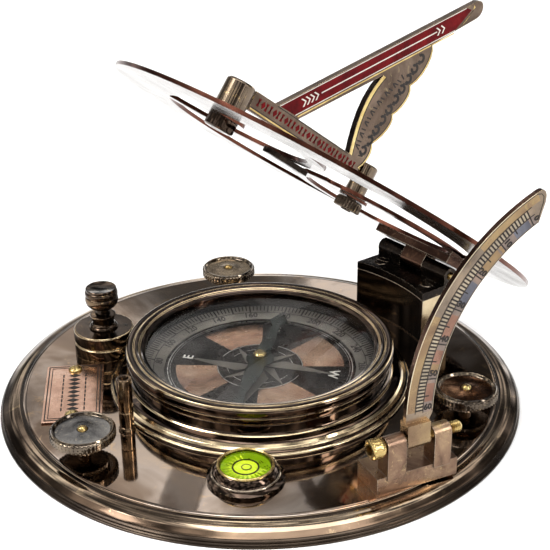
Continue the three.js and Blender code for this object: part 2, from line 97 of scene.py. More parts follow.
def noise(t, coord, scale, detail, rough=0.5, distortion=0.0):
    n = t.nodes.new("ShaderNodeTexNoise")
    n.inputs["Scale"].default_value = scale
    n.inputs["Detail"].default_value = detail
    n.inputs["Roughness"].default_value = rough
    n.inputs["Distortion"].default_value = distortion
    t.links.new(coord, n.inputs["Vector"])
    return n.outputs["Fac"]


def ramp(t, fac, stops):
    """Colour by factor; stops are (position, colour), lowest first."""
    r = t.nodes.new("ShaderNodeValToRGB")
    e = r.color_ramp.elements
    e[0].position, e[0].color = stops[0][0], (*stops[0][1], 1)
    e[1].position, e[1].color = stops[-1][0], (*stops[-1][1], 1)
    for pos, c in stops[1:-1]:
        k = e.new(pos)
        k.color = (*c, 1)
    t.links.new(fac, r.inputs[0])
    return r.outputs[0]


def grey(v):
    return (v, v, v)


def remap(t, fac, lo, hi, a=0.3, b=0.7):
    """Stretches the range a to b, where most noise falls, over lo to hi."""
    m = t.nodes.new("ShaderNodeMapRange")
    m.inputs["From Min"].default_value = a
    m.inputs["From Max"].default_value = b
    m.inputs["To Min"].default_value = lo
    m.inputs["To Max"].default_value = hi
    t.links.new(fac, m.inputs["Value"])
    return m.outputs[0]


def bump(t, height, b, strength, distance, normal=None):
    n = t.nodes.new("ShaderNodeBump")
    n.inputs["Strength"].default_value = strength
    n.inputs["Distance"].default_value = distance
    t.links.new(height, n.inputs["Height"])
    if normal is not None:
        t.links.new(normal, n.inputs["Normal"])
    t.links.new(n.outputs[0], b.inputs["Normal"])
    return n.outputs[0]


def vector_math(t, operation, source, by=None):
    n = t.nodes.new("ShaderNodeVectorMath")
    n.operation = operation
    t.links.new(source, n.inputs[0])
    if by is not None:
        n.inputs[1].default_value = by
    return n.outputs["Value" if operation in ("LENGTH", "DOT_PRODUCT") else "Vector"]


def blend(t, fac, first, second):
    """Mixes a colour socket with another one, or with a plain colour."""
    mix = t.nodes.new("ShaderNodeMix")
    mix.data_type = "RGBA"
    t.links.new(fac, mix.inputs[0])
    t.links.new(first, mix.inputs[6])
    if isinstance(second, tuple):
        mix.inputs[7].default_value = (*second, 1)
    else:
        t.links.new(second, mix.inputs[7])
    return mix.outputs[2]


def object_coord(t):
    return t.nodes.new("ShaderNodeTexCoord").outputs["Object"]


def turned_lines(t, coord, centre, scale):
    """Fine lathe marks: noise that varies only with the distance from an upright axis."""
    offset = vector_math(t, "SUBTRACT", coord, (centre[0] * MM, centre[1] * MM, 0))
    flat = vector_math(t, "MULTIPLY", offset, (1, 1, 0))
    n = t.nodes.new("ShaderNodeTexNoise")
    n.noise_dimensions = "1D"
    n.inputs["Scale"].default_value = scale
    n.inputs["Detail"].default_value = 2
    t.links.new(vector_math(t, "LENGTH", flat), n.inputs["W"])
    return n.outputs["Fac"]


def metal(name, stops, rough, scale, grain, grain_scale=1500, turned=None, wear=None, metallic=1.0):
    """Cloudy tones over metal: partly random patina, partly painted reflection tints.

    stops: tones by cloud; rough: least and most roughness; scale: of the clouds; grain: depth of the
    fine bump; turned: centre of the lathe marks; wear: colour of the rubbed spots.
    """
    m, t, b = new_material(name)
    coord = object_coord(t)
    colour = ramp(t, noise(t, coord, scale, 4, 0.6, 0.6), stops)
    if wear is not None:
        spots = noise(t, coord, scale * 5.5, 6, 0.7, 1.0)
        colour = blend(t, remap(t, spots, 0, 0.75, 0.58, 0.72), colour, wear)
    t.links.new(colour, b.inputs["Base Color"])
    b.inputs["Metallic"].default_value = metallic
    patch = noise(t, coord, scale * 2.3, 5, 0.65)
    t.links.new(remap(t, patch, *rough), b.inputs["Roughness"])
    n = bump(t, noise(t, coord, grain_scale, 3, 0.6), b, grain, 0.00006)
    if turned is not None:
        bump(t, turned_lines(t, coord, turned, 2600), b, 0.12, 0.00005, n)
    return m


def principled(m):
    return next(n for n in m.node_tree.nodes if n.type == "BSDF_PRINCIPLED")


def dial_metal():
    """Pierced plate, coloured by which way each face looks: warm brass on the face, with grey on the
    underside and dark copper on the walls painted as shade.
    """
    m = metal("dial_brass", [
        (0.28, (0.26, 0.15, 0.10)), (0.5, (0.44, 0.28, 0.19)), (0.72, (0.58, 0.42, 0.27)),
    ], rough=(0.12, 0.26), scale=40, grain=0.1, wear=(0.66, 0.48, 0.32))
    t = m.node_tree
    b = principled(m)
    face = b.inputs["Base Color"].links[0].from_socket
    coords = t.nodes.new("ShaderNodeTexCoord")
    facing = vector_math(t, "DOT_PRODUCT", coords.outputs["Normal"], (0, math.sin(TILT), math.cos(TILT)))
    # grey for the faces that look down: painted shade on the underside
    painted_underside_shade = ramp(t, noise(t, coords.outputs["Object"], 30, 4),
                 [(0.3, (0.21, 0.198, 0.19)), (0.7, (0.31, 0.295, 0.285))])
    # near-black copper for the walls of the cut-outs: painted shade
    wall = ramp(t, noise(t, coords.outputs["Object"], 60, 4),
                [(0.3, (0.035, 0.012, 0.008)), (0.7, (0.15, 0.055, 0.035))])
    painted_shade_sides = blend(t, remap(t, facing, 1, 0, -0.9, -0.6), wall, painted_underside_shade)
    high = blend(t, remap(t, facing, 0, 1, 0.6, 0.9), painted_shade_sides, face)
    t.links.new(high, b.inputs["Base Color"])
    return m


M = {}
# the plate's cloud runs from near-black to pale copper and grey: partly random patina, partly painted
# reflections
M["plate"] = metal("plate_bronze", [
    (0.25, (0.07, 0.048, 0.034)), (0.40, (0.20, 0.145, 0.105)), (0.50, (0.40, 0.335, 0.285)),
    (0.60, (0.46, 0.37, 0.29)), (0.70, (0.60, 0.34, 0.19)), (0.85, (0.40, 0.34, 0.30)),
], rough=(0.025, 0.085), scale=24, grain=0.03, wear=(0.62, 0.43, 0.24))
M["rim"] = metal("rim_bronze", [
    (0.3, (0.09, 0.062, 0.042)), (0.46, (0.24, 0.18, 0.13)), (0.58, (0.38, 0.30, 0.21)),
    (0.74, (0.54, 0.40, 0.24)),
], rough=(0.05, 0.14), scale=30, grain=0.06, wear=(0.66, 0.5, 0.3))
M["rim_brown"] = metal("rim_brown", [
    (0.3, (0.03, 0.02, 0.014)), (0.5, (0.10, 0.068, 0.046)), (0.7, (0.20, 0.14, 0.09)),
], rough=(0.06, 0.16), scale=30, grain=0.06, wear=(0.34, 0.25, 0.15))
# near-black metal for the rim's grooves and low outer faces: painted shade
M["painted_rim_shade"] = metal("rim_groove_painted_shade", [
    (0.3, (0.016, 0.012, 0.01)), (0.7, (0.06, 0.045, 0.033)),
], rough=(0.14, 0.3), scale=40, grain=0.1)
M["dark"] = metal("dark_bronze", [
    (0.3, (0.016, 0.012, 0.009)), (0.48, (0.065, 0.045, 0.032)), (0.58, (0.17, 0.115, 0.07)),
    (0.74, (0.40, 0.27, 0.15)),
], rough=(0.05, 0.2), scale=70, grain=0.14, grain_scale=1700, wear=(0.42, 0.3, 0.17))
M["black"] = metal("blackened_brass", [
    (0.3, (0.007, 0.006, 0.0055)), (0.55, (0.02, 0.015, 0.012)), (0.8, (0.055, 0.04, 0.028)),
], rough=(0.14, 0.34), scale=80, grain=0.15, grain_scale=1700, wear=(0.12, 0.085, 0.05))
M["brown"] = metal("brown_bronze", [
    (0.3, (0.018, 0.01, 0.008)), (0.5, (0.05, 0.026, 0.018)), (0.75, (0.11, 0.06, 0.04)),
], rough=(0.14, 0.32), scale=60, grain=0.15, grain_scale=1700, wear=(0.22, 0.13, 0.08))
M["gold"] = metal("gold_brass", [
    (0.28, (0.30, 0.20, 0.075)), (0.5, (0.52, 0.38, 0.15)), (0.75, (0.74, 0.60, 0.28)),
], rough=(0.14, 0.32), scale=90, grain=0.2, wear=(0.82, 0.7, 0.42))
M["satin"] = metal("satin_brass", [
    (0.28, (0.06, 0.042, 0.032)), (0.48, (0.12, 0.085, 0.064)), (0.62, (0.17, 0.125, 0.095)),
    (0.8, (0.19, 0.115, 0.09)),
], rough=(0.22, 0.4), scale=90, grain=0.3, wear=(0.27, 0.21, 0.12))
M["pewter"] = metal("post_bronze", [
    (0.3, (0.05, 0.038, 0.028)), (0.5, (0.15, 0.115, 0.085)), (0.75, (0.30, 0.22, 0.14)),
], rough=(0.08, 0.2), scale=50, grain=0.08, wear=(0.6, 0.42, 0.2))
M["bracket"] = metal("bracket_brass", [
    (0.3, (0.08, 0.052, 0.036)), (0.42, (0.20, 0.125, 0.085)), (0.55, (0.30, 0.205, 0.13)),
    (0.68, (0.42, 0.31, 0.13)), (0.82, (0.22, 0.145, 0.11)),
], rough=(0.2, 0.42), scale=80, grain=0.5, grain_scale=1300, wear=(0.62, 0.46, 0.24))
M["engraved"] = metal("engraved_black", [
    (0.3, (0.006, 0.004, 0.004)), (0.7, (0.022, 0.016, 0.012)),
], rough=(0.35, 0.6), scale=200, grain=0.2, grain_scale=2500, metallic=0.4)
M["bright"] = metal("bright_line", [
    (0.3, (0.5, 0.42, 0.31)), (0.7, (0.72, 0.62, 0.46)),
], rough=(0.15, 0.32), scale=150, grain=0.1, grain_scale=2000)
M["silver"] = metal("silver_scale", [
    (0.3, (0.52, 0.5, 0.46)), (0.7, (0.88, 0.87, 0.84)),
], rough=(0.2, 0.4), scale=120, grain=0.15, grain_scale=2000)
M["card"] = metal("card_dark", [
    (0.3, (0.013, 0.011, 0.010)), (0.5, (0.035, 0.029, 0.026)), (0.75, (0.09, 0.075, 0.066)),
], rough=(0.15, 0.35), scale=70, grain=0.1, turned=(0, 0), wear=(0.16, 0.13, 0.1))
M["rose_light"] = metal("rose_copper", [
    (0.3, (0.34, 0.17, 0.11)), (0.5, (0.66, 0.40, 0.27)), (0.75, (0.92, 0.68, 0.5)),
], rough=(0.15, 0.3), scale=60, grain=0.1, wear=(0.8, 0.62, 0.48))
M["steel"] = metal("blued_needle", [
    (0.3, (0.03, 0.038, 0.036)), (0.55, (0.075, 0.095, 0.088)), (0.8, (0.17, 0.20, 0.18)),
], rough=(0.14, 0.3), scale=90, grain=0.12, wear=(0.22, 0.25, 0.22))
M["arc"] = metal("arc_brass", [
    (0.3, (0.09, 0.066, 0.05)), (0.45, (0.19, 0.15, 0.115)), (0.6, (0.28, 0.215, 0.155)),
    (0.75, (0.40, 0.26, 0.15)),
], rough=(0.2, 0.38), scale=60, grain=0.25, wear=(0.28, 0.2, 0.1))
M["gold_dull"] = metal("gold_shadow", [
    (0.3, (0.10, 0.062, 0.042)), (0.5, (0.21, 0.14, 0.085)), (0.72, (0.36, 0.26, 0.135)),
], rough=(0.2, 0.36), scale=50, grain=0.25, wear=(0.34, 0.26, 0.12))
M["scale"] = metal("scale_cells", [
    (0.3, (0.17, 0.14, 0.10)), (0.5, (0.30, 0.255, 0.19)), (0.72, (0.44, 0.38, 0.28)),
], rough=(0.18, 0.34), scale=60, grain=0.2)
M["track"] = metal("number_track", [
    (0.3, (0.10, 0.085, 0.075)), (0.5, (0.20, 0.16, 0.14)), (0.7, (0.30, 0.21, 0.16)),
], rough=(0.25, 0.42), scale=120, grain=0.3)
M["dial"] = dial_metal()
M["wheel"] = metal("wheel_bronze", [
    (0.3, (0.03, 0.024, 0.02)), (0.5, (0.12, 0.096, 0.074)), (0.72, (0.34, 0.27, 0.19)),
], rough=(0.06, 0.18), scale=90, grain=0.12, grain_scale=1700, wear=(0.42, 0.33, 0.2))
M["edge_dim"] = metal("edge_bronze", [
    (0.3, (0.16, 0.12, 0.085)), (0.5, (0.34, 0.28, 0.22)), (0.7, (0.52, 0.44, 0.34)),
], rough=(0.08, 0.2), scale=60, grain=0.06)
# light gold-brown for the hinge block's +x faces: a painted reflection
M["painted_reflection_side"] = metal("side_face_painted_reflection", [
    (0.3, (0.10, 0.07, 0.04)), (0.46, (0.30, 0.22, 0.13)), (0.6, (0.62, 0.5, 0.32)),
], rough=(0.1, 0.26), scale=22, grain=0.1)
# dish tones that copy what each wheel's dish reflects: painted reflections
M["grey_dish_reflection"] = metal("grey_dish_painted_reflection", [
    (0.3, (0.06, 0.06, 0.062)), (0.5, (0.17, 0.165, 0.16)), (0.7, (0.34, 0.33, 0.31)),
], rough=(0.16, 0.3), scale=90, grain=0.2, grain_scale=1300, wear=(0.5, 0.45, 0.36))
M["brass_dish_painted_reflection"] = metal("brass_dish_painted_reflection", [
    (0.3, (0.16, 0.12, 0.08)), (0.5, (0.32, 0.25, 0.17)), (0.7, (0.46, 0.38, 0.27)),
], rough=(0.16, 0.3), scale=90, grain=0.2, grain_scale=1300, wear=(0.5, 0.42, 0.3))
M["edge"] = metal("edge_gold", [
    (0.3, (0.30, 0.215, 0.125)), (0.5, (0.55, 0.43, 0.27)), (0.7, (0.72, 0.6, 0.4)),
], rough=(0.08, 0.2), scale=60, grain=0.06)
M["body"] = metal("bowl_bronze", [
    (0.3, (0.012, 0.009, 0.008)), (0.5, (0.045, 0.032, 0.025)), (0.62, (0.09, 0.062, 0.045)),
    (0.78, (0.16, 0.11, 0.075)),
], rough=(0.03, 0.1), scale=40, grain=0.05, grain_scale=1700, wear=(0.24, 0.17, 0.11))
M["label"] = metal("name_plate_copper", [
    (0.28, (0.42, 0.25, 0.18)), (0.5, (0.68, 0.44, 0.33)), (0.7, (0.84, 0.62, 0.5)),
    (0.85, (0.6, 0.52, 0.48)),
], rough=(0.14, 0.3), scale=70, grain=0.16, wear=(0.8, 0.6, 0.46))
M["ring_card"] = metal("degree_ring", [
    (0.3, (0.10, 0.088, 0.075)), (0.5, (0.16, 0.142, 0.12)), (0.75, (0.24, 0.21, 0.17)),
], rough=(0.3, 0.45), scale=70, grain=0.1, metallic=0.25)
M["block"] = metal("block_bronze", [
    (0.3, (0.01, 0.008, 0.007)), (0.5, (0.03, 0.022, 0.017)), (0.66, (0.075, 0.05, 0.035)),
    (0.8, (0.13, 0.085, 0.055)),
], rough=(0.05, 0.16), scale=34, grain=0.08, wear=(0.2, 0.14, 0.08))
M["dish"] = metal("copper_dish_painted_reflection", [
    (0.34, (0.05, 0.031, 0.022)), (0.48, (0.24, 0.125, 0.072)), (0.58, (0.58, 0.32, 0.17)),
    (0.7, (0.62, 0.55, 0.5)),
], rough=(0.14, 0.3), scale=150, grain=0.3, grain_scale=1200, wear=(0.55, 0.34, 0.2))


def enamel(name, dark, light, rough=(0.2, 0.42), spec=0.5, coat=0.3):
    m, t, b = new_material(name)
    coord = object_coord(t)
    t.links.new(ramp(t, noise(t, coord, 160, 5, 0.7), [(0.3, dark), (0.7, light)]), b.inputs["Base Color"])
    t.links.new(remap(t, noise(t, coord, 420, 4), *rough), b.inputs["Roughness"])
    b.inputs["Specular IOR Level"].default_value = spec
    b.inputs["Coat Weight"].default_value = coat
    bump(t, noise(t, coord, 1300, 3), b, 0.15, 0.00005)
    return m


M["red"] = enamel("red_enamel", (0.05, 0.001, 0.002), (0.18, 0.004, 0.006),
                  rough=(0.35, 0.5), spec=0.08, coat=0.0)
M["white"] = enamel("white_enamel", (0.62, 0.56, 0.5), (0.85, 0.82, 0.76))
M["level"] = enamel("level_liquid", (0.50, 0.62, 0.015), (0.72, 0.84, 0.04),
                    rough=(0.3, 0.45), spec=0.2, coat=0.0)
# a faint green emission lightens the vial where the housing shades it: painted light, the liquid is no lamp
painted_vial_glow = principled(M["level"])
painted_vial_glow.inputs["Emission Color"].default_value = (0.5, 0.75, 0.02, 1)
painted_vial_glow.inputs["Emission Strength"].default_value = 0.28
M["patch_blue"] = metal("patina_blue", [
    (0.3, (0.07, 0.07, 0.085)), (0.7, (0.16, 0.163, 0.19)),
], rough=(0.2, 0.4), scale=90, grain=0.15, grain_scale=1800)
M["patch_red"] = metal("patina_copper", [
    (0.3, (0.14, 0.075, 0.055)), (0.7, (0.33, 0.19, 0.14)),
], rough=(0.2, 0.4), scale=90, grain=0.15, grain_scale=1800)


def glass(name, tint, rough=0.02):
    m, t, b = new_material(name)
    coord = object_coord(t)
    b.inputs["Base Color"].default_value = (*tint, 1)
    b.inputs["Transmission Weight"].default_value = 1
    b.inputs["IOR"].default_value = 1.22
    t.links.new(remap(t, noise(t, coord, 60, 4), rough, rough + 0.03), b.inputs["Roughness"])
    bump(t, noise(t, coord, 220, 3), b, 0.02, 0.00002)
    return m


M["glass"] = glass("clear_glass", (0.97, 0.98, 0.98))


# ---------------------------------------------------------------- geometry helpers
def add_mesh(name, verts, faces, mat, body, matrix, sharp, stands_for=()):
    """A piece riding on a body; sharp is the angle in degrees above which an edge stays hard."""
    mesh = bpy.data.meshes.new(name)
    mesh.from_pydata([(matrix @ Vector(v)) * MM for v in verts], [], faces)
    mesh.validate()
    obj = bpy.data.objects.new(name, mesh)
    bpy.context.scene.collection.objects.link(obj)
    mesh.materials.append(M[mat])
    mesh.polygons.foreach_set("use_smooth", [True] * len(mesh.polygons))
    mesh.set_sharp_from_angle(angle=math.radians(sharp))
    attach(obj, body)
    if stands_for:
        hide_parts(*stands_for)
    return obj


def lathe_data(profile, segs, closed, knurl=None):
    """Turns a profile of (radius, height) points round z.

    knurl = (first, last, teeth, depth): the profile points that carry a diamond knurl; a fifth value
    makes straight flutes of it.
    """
    verts, faces, rings = [], [], []
    for i, (r, z) in enumerate(profile):
        if r <= 1e-6:
            rings.append([len(verts)] * segs)
            verts.append((0, 0, z))
            continue
        start = len(verts)
        for k in range(segs):
            a = 2 * math.pi * k / segs
            rr = r
            if knurl and knurl[0] <= i <= knurl[1]:
                phase = 0 if len(knurl) > 4 else math.pi * (i - knurl[0])
                rr -= knurl[3] * (0.5 + 0.5 * math.cos(knurl[2] * a + phase))
            verts.append((rr * math.cos(a), rr * math.sin(a), z))
        rings.append(list(range(start, start + segs)))
    count = len(profile)
    for i in range(count if closed else count - 1):
        lo, hi = rings[i], rings[(i + 1) % count]
        for k in range(segs):
            n = (k + 1) % segs
            face = []
            for v in (lo[k], lo[n], hi[n], hi[k]):
                if v not in face:
                    face.append(v)
            if len(face) > 2:
                faces.append(face)
    return verts, faces


def arc_points(centre, r, a0, a1, steps):
    return [polar(centre, r, a0 + (a1 - a0) * i / steps) for i in range(steps + 1)]


def rounded(profile, r, steps=3):
    """Small fillets on the corners of a lathe outline, except points on the axis."""
    out = []
    n = len(profile)
    for i, p in enumerate(profile):
        if p[0] <= 1e-6 or i in (0, n - 1):
            out.append(p)
            continue
        a, b, c = Vector(profile[i - 1]), Vector(p), Vector(profile[i + 1])
        u, v = (a - b), (c - b)
        if u.length < 1e-6 or v.length < 1e-6 or u.angle(v) > math.radians(165):
            out.append(p)
            continue
        d = min(r, u.length * 0.4, v.length * 0.4)
        s, e = b + u.normalized() * d, b + v.normalized() * d
        for k in range(steps + 1):
            t = k / steps
            q = s * (1 - t) ** 2 + b * 2 * t * (1 - t) + e * t * t
            out.append((q.x, q.y))
    return out


def fix_normals(obj):
    bm = bmesh.new()
    bm.from_mesh(obj.data)
    bmesh.ops.recalc_face_normals(bm, faces=bm.faces)
    bm.to_mesh(obj.data)
    bm.free()


def lathe(name, profile, mat, body, centre=ORIGIN, matrix=IDENT, segs=64, closed=False, knurl=None,
          stands_for=(), lying=False, fillet=0):
    """A turned piece standing on z, or lying along x; closed joins the profile's ends, as for a ring."""
    if fillet and not knurl:
        profile = rounded(profile, fillet)
    verts, faces = lathe_data(profile, segs, closed, knurl)
    place = matrix @ Matrix.Translation(centre)
    if lying:
        place = place @ Matrix.Rotation(math.pi / 2, 4, "Y")
    obj = add_mesh(name, verts, faces, mat, body, place, 40, stands_for)
    fix_normals(obj)
    return obj


def thread(root, crest, z0, lead, pitch, turns):
    """Lathe profile of a screw: z0 is its start, and lead the height of its first crest."""
    out = [(root, z0)]
    for k in range(turns):
        out += [(crest, lead + pitch * k), (root, lead + pitch * (k + 0.5))]
    return out


def prisms(name, polygons, z0, z1, mat, body, matrix=IDENT, flip=False):
    """Thin prisms over 2-D outlines; flip swaps y and z for a frame whose face looks along -y."""
    verts, faces = [], []
    for poly in polygons:
        base = len(verts)
        n = len(poly)
        for z in (z0, z1):
            for x, y in poly:
                verts.append((x, z, y) if flip else (x, y, z))
        faces.append(list(range(base, base + n)))
        faces.append(list(range(base + n, base + 2 * n)))
        for k in range(n):
            j = (k + 1) % n
            faces.append([base + k, base + j, base + n + j, base + n + k])
    obj = add_mesh(name, verts, faces, mat, body, matrix, 20)
    fix_normals(obj)
    return obj


def lettering(name, items, size, z0, depth, mat, body, matrix=IDENT, flip=False, bold=0.0):
    """items: (text, x, y, angle in degrees), only figures and points of the compass."""
    verts, faces = [], []
    graph = bpy.context.evaluated_depsgraph_get()
    for text, x, y, angle in items:
        curve = bpy.data.curves.new("tmp", "FONT")
        curve.body, curve.size, curve.extrude = text, size, depth / 2
        curve.align_x, curve.align_y, curve.resolution_u = "CENTER", "CENTER", 2
        curve.offset = bold
        tmp = bpy.data.objects.new("tmp", curve)
        bpy.context.scene.collection.objects.link(tmp)
        graph.update()
        mesh = bpy.data.meshes.new_from_object(tmp.evaluated_get(bpy.context.evaluated_depsgraph_get()))
        rot = Matrix.Rotation(math.radians(angle), 4, "Z")
        base = len(verts)
        for v in mesh.vertices:
            p = rot @ v.co
            p = Vector((p.x + x, p.y + y, p.z + z0 + depth / 2))
            verts.append((p.x, -p.z, p.y) if flip else tuple(p))
        faces += [[base + i for i in f.vertices] for f in mesh.polygons]
        bpy.data.objects.remove(tmp)
        bpy.data.curves.remove(curve)
        bpy.data.meshes.remove(mesh)
    return add_mesh(name, verts, faces, mat, body, matrix, 20)


def bar(x0, y0, x1, y1, w):
    """Outline of a straight line w wide."""
    d = Vector((x1 - x0, y1 - y0)).normalized() * (w / 2)
    return [(x0 - d.y, y0 + d.x), (x0 + d.y, y0 - d.x), (x1 + d.y, y1 - d.x), (x1 - d.y, y1 + d.x)]


def tick(centre, r0, r1, deg, w):
    """Radial line w wide."""
    return bar(*polar(centre, r0, deg), *polar(centre, r1, deg), w)


def band(centre, r0, r1, a0, a1, steps):
    """Flat ring sector between two radii, as four-cornered outlines."""
    out = []
    for i in range(steps):
        b0, b1 = (a0 + (a1 - a0) * (i + k) / steps for k in (0, 1))
        out.append([polar(centre, r, b) for r, b in ((r0, b0), (r1, b0), (r1, b1), (r0, b1))])
    return out


def hoop(centre, r, w, a0=0, a1=360, steps=96):
    """Ring, or part of one, w wide."""
    return band(centre, r - w / 2, r + w / 2, a0, a1, steps)


def finish_cad(node, mat, bevel, wear_and_highlight=None):
    """Gives a CAD piece its metal and its bevel; the fourth argument is the lighter metal of its bevelled
    edges, partly rubbed wear and partly a painted highlight.
    """
    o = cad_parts[node]
    o.data.materials.clear()
    o.data.materials.append(M[mat])
    if wear_and_highlight:
        o.data.materials.append(M[wear_and_highlight])
    w = o.modifiers.new("weld", "WELD")
    w.merge_threshold = 0.00001
    if bevel:
        b = o.modifiers.new("edge", "BEVEL")
        b.width = bevel * MM
        b.segments = 2
        b.limit_method = "ANGLE"
        b.angle_limit = math.radians(38)
        b.material = 1 if wear_and_highlight else -1
    o.data.polygons.foreach_set("use_smooth", [True] * len(o.data.polygons))
    s = o.modifiers.new("weighted", "WEIGHTED_NORMAL")
    s.keep_sharp = False


def drill(obj, spots, r, z0, z1, segs=32):
    """Bores round holes straight down through a piece."""
    verts, faces = [], []
    for spot in spots:
        b = len(verts)
        for z in (z0, z1):
            circle = [polar(spot, r, 360 * k / segs) for k in range(segs)]
            verts += [(x * MM, y * MM, z * MM) for x, y in circle]
        faces += [tuple(b + k for k in reversed(range(segs))), tuple(b + segs + k for k in range(segs))]
        for k in range(segs):
            n = (k + 1) % segs
            faces.append((b + k, b + n, b + segs + n, b + segs + k))
    mesh = bpy.data.meshes.new("bores")
    mesh.from_pydata(verts, [], faces)
    cutter = bpy.data.objects.new("bores", mesh)
    bpy.context.scene.collection.objects.link(cutter)
    m = obj.modifiers.new("bores", "BOOLEAN")
    m.operation, m.solver, m.object = "DIFFERENCE", "EXACT", cutter
    seen = bpy.context.evaluated_depsgraph_get()
    bored = bpy.data.meshes.new_from_object(obj.evaluated_get(seen))
    obj.modifiers.clear()
    obj.data = bored
    bpy.data.objects.remove(cutter)
    bpy.data.meshes.remove(mesh)


def second_metal(node, mat, chosen):
    """Gives the faces a test picks out another finish."""
    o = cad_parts[node]
    o.data.materials.append(M[mat])
    for poly in o.data.polygons:
        if chosen(poly.center / MM, poly.normal):
            poly.material_index = len(o.data.materials) - 1


def gild(obj, mat, edges):
    """Gives the turned faces inside the listed (r0, r1, z0, z1) windows a second metal; with the light edge
    metal, these rings are partly rubbed wear and partly a painted highlight.
    """
    obj.data.materials.append(M[mat])
    for poly in obj.data.polygons:
        r, z = math.hypot(poly.center.x, poly.center.y) / MM, poly.center.z / MM
        if any(r0 < r < r1 and z0 < z < z1 for r0, r1, z0, z1 in edges):
            poly.material_index = 1


# ---------------------------------------------------------------- base
rim = [(0, 0), (75, 0), (75, 0.45), (74.75, 0.62), (74.95, 0.85), (74.7, 1.1), (74.45, 1.2), (74.6, 1.5),
       (74.3, 1.8), (73.9, 1.95), (73.9, 2.15), (73.3, 2.45), (72.4, 3.05), (71.4, 3.5), (70.3, 3.75),
       (69.6, 3.72), (69.3, 3.85), (68.75, 4.0), (68.35, 4.05), (68.3, 4.15), (68.3, 4.42),
       (68.2, PLATE_Z), (67.2, PLATE_Z)]
plate = lathe("base_plate_turned", rim + [(0, PLATE_Z)], "plate", "base", segs=288,
              stands_for=["base_plate"])
drill(plate, SCREWS, 1.75, -1, 6)
PLATE, RIM, GROOVE_SHADE, BROWN = range(4)
for finish in ("rim", "painted_rim_shade", "rim_brown"):
    plate.data.materials.append(M[finish])


def rim_finish(r, h):
    """The finish of a face of the plate at radius r and height h; the grooves and the low outer faces get
    near-black metal, a painted shade.
    """
    if r <= 68.3 or h >= 4.3:
        return PLATE
    if h < 2.3:
        return RIM if 0.6 < h < 0.86 or 1.2 < h < 1.52 or h > 2.1 else GROOVE_SHADE
    if h < 3.1 or r > 72.2:
        return BROWN
    return GROOVE_SHADE if r < 69.4 and h < 4.05 else RIM


for poly in plate.data.polygons:
    poly.material_index = rim_finish(math.hypot(poly.center.x, poly.center.y) / MM, poly.center.z / MM)

wall = [(0, PLATE_Z), (43.5, PLATE_Z), (43.5, 5.0), (43.3, 5.3), (42.8, 5.5), (42.9, 5.9), (42.3, 6.2),
        (41.5, 6.6), (40.9, 7.3), (40.3, 7.6), (39.6, 7.7), (38.6, 7.9), (38.2, 8.2), (37.8, 8.6),
        (37.8, 11.0), (37.5, 11.15), (37.8, 11.3), (37.8, 13), (34.6, 13), (34.6, 6.5), (0, 6.5)]
bowl = lathe("compass_bowl_turned", wall, "body", "base", segs=192, stands_for=["compass_bowl"],
             fillet=0.12)
lip = [(36.2, 13), (38.45, 13), (38.6, 13.3), (38.3, 13.6), (38.6, 13.9), (38.6, 15.3), (38.35, 15.5),
       (38.5, 15.8), (38.2, 16.2), (37.7, 16.3), (36.9, 16.25), (36.5, 16.05), (36.1, 16.2), (35.4, 16.1),
       (34.9, 15.75), (34.3, 15.6), (33.8, 15.2), (33, 15), (33, 14.3), (36.2, 14.3)]
bezel = lathe("compass_bezel_turned", lip, "body", "base", segs=192, closed=True,
              stands_for=["compass_bezel"], fillet=0.12)
# bright rings on the beads and shoulders of the bowl and bezel: partly rubbed wear, partly painted highlight
gild(bowl, "edge", [(42.4, 43.6, 5.0, 5.5), (40.9, 42.0, 6.2, 7.0), (37.4, 38.0, 11.1, 11.35),
                    (38.1, 38.8, 7.8, 8.1)])
gild(bezel, "edge", [(38.35, 38.7, 13.55, 13.95), (38.0, 38.5, 15.75, 16.3), (36.0, 36.6, 16.0, 16.3),
                     (34.3, 35.0, 15.55, 15.8), (38.3, 38.7, 13.0, 13.35)])
finish_cad("compass_glass", "glass", 0)

# compass card, drawn as inlaid rings, ticks, numbers and an eight-point rose
finish_cad("compass_card", "card", 0)
CARD_Z, NORTH = 7.3, -51
# the degree ring slopes up between these radii, by these heights above the card
RING_IN, RING_OUT, RING_LO, RING_HI = 28.2, 33.6, 0.5, 1.6
ring = [(27.6, CARD_Z), (34.1, CARD_Z), (34.1, CARD_Z + 1.5), (RING_OUT, CARD_Z + RING_HI),
        (RING_IN, CARD_Z + RING_LO), (27.6, CARD_Z + 0.3)]
lathe("card_degree_ring", ring, "ring_card", "base", segs=128, closed=True)


def drape(obj):
    """Lays flat marks on the sloping degree ring."""
    for v in obj.data.vertices:
        r = math.hypot(v.co.x, v.co.y) / MM
        v.co.z += (RING_LO + (r - RING_IN) * (RING_HI - RING_LO) / (RING_OUT - RING_IN)) * MM


marks = []
for d in range(0, 360, 2):
    start, w = (31.5, 0.36) if d % 10 else (30.7, 0.5)
    marks.append(tick(ORIGIN, start, 33.6, NORTH + d, w))
marks += hoop(ORIGIN, 30.6, 0.2) + hoop(ORIGIN, 33.8, 0.2)
drape(prisms("card_degree_marks", marks, CARD_Z + 0.01, CARD_Z + 0.06, "engraved", "base"))
numbers = [(str(d), *polar(ORIGIN, 29.2, NORTH - d), NORTH - d - 90) for d in range(0, 360, 20)]
drape(lettering("card_degree_numbers", numbers, 2.9, CARD_Z + 0.01, 0.06, "engraved", "base", bold=0.05))
rings = []
for r, w in ((26.6, 0.3), (25.9, 0.12), (12.2, 0.2), (9.4, 0.15)):
    rings += hoop(ORIGIN, r, w)
prisms("card_rings", rings, CARD_Z, CARD_Z + 0.07, "silver", "base")


def kite(deg, length, half, side):
    """Half of a point of the rose, on one side of its middle line."""
    t = math.radians(deg)
    u, v = (math.cos(t), math.sin(t)), (-math.sin(t), math.cos(t))
    k = half * side
    m = length * 0.28
    return [(0, 0), (u[0] * m + v[0] * k, u[1] * m + v[1] * k), (u[0] * length, u[1] * length)]


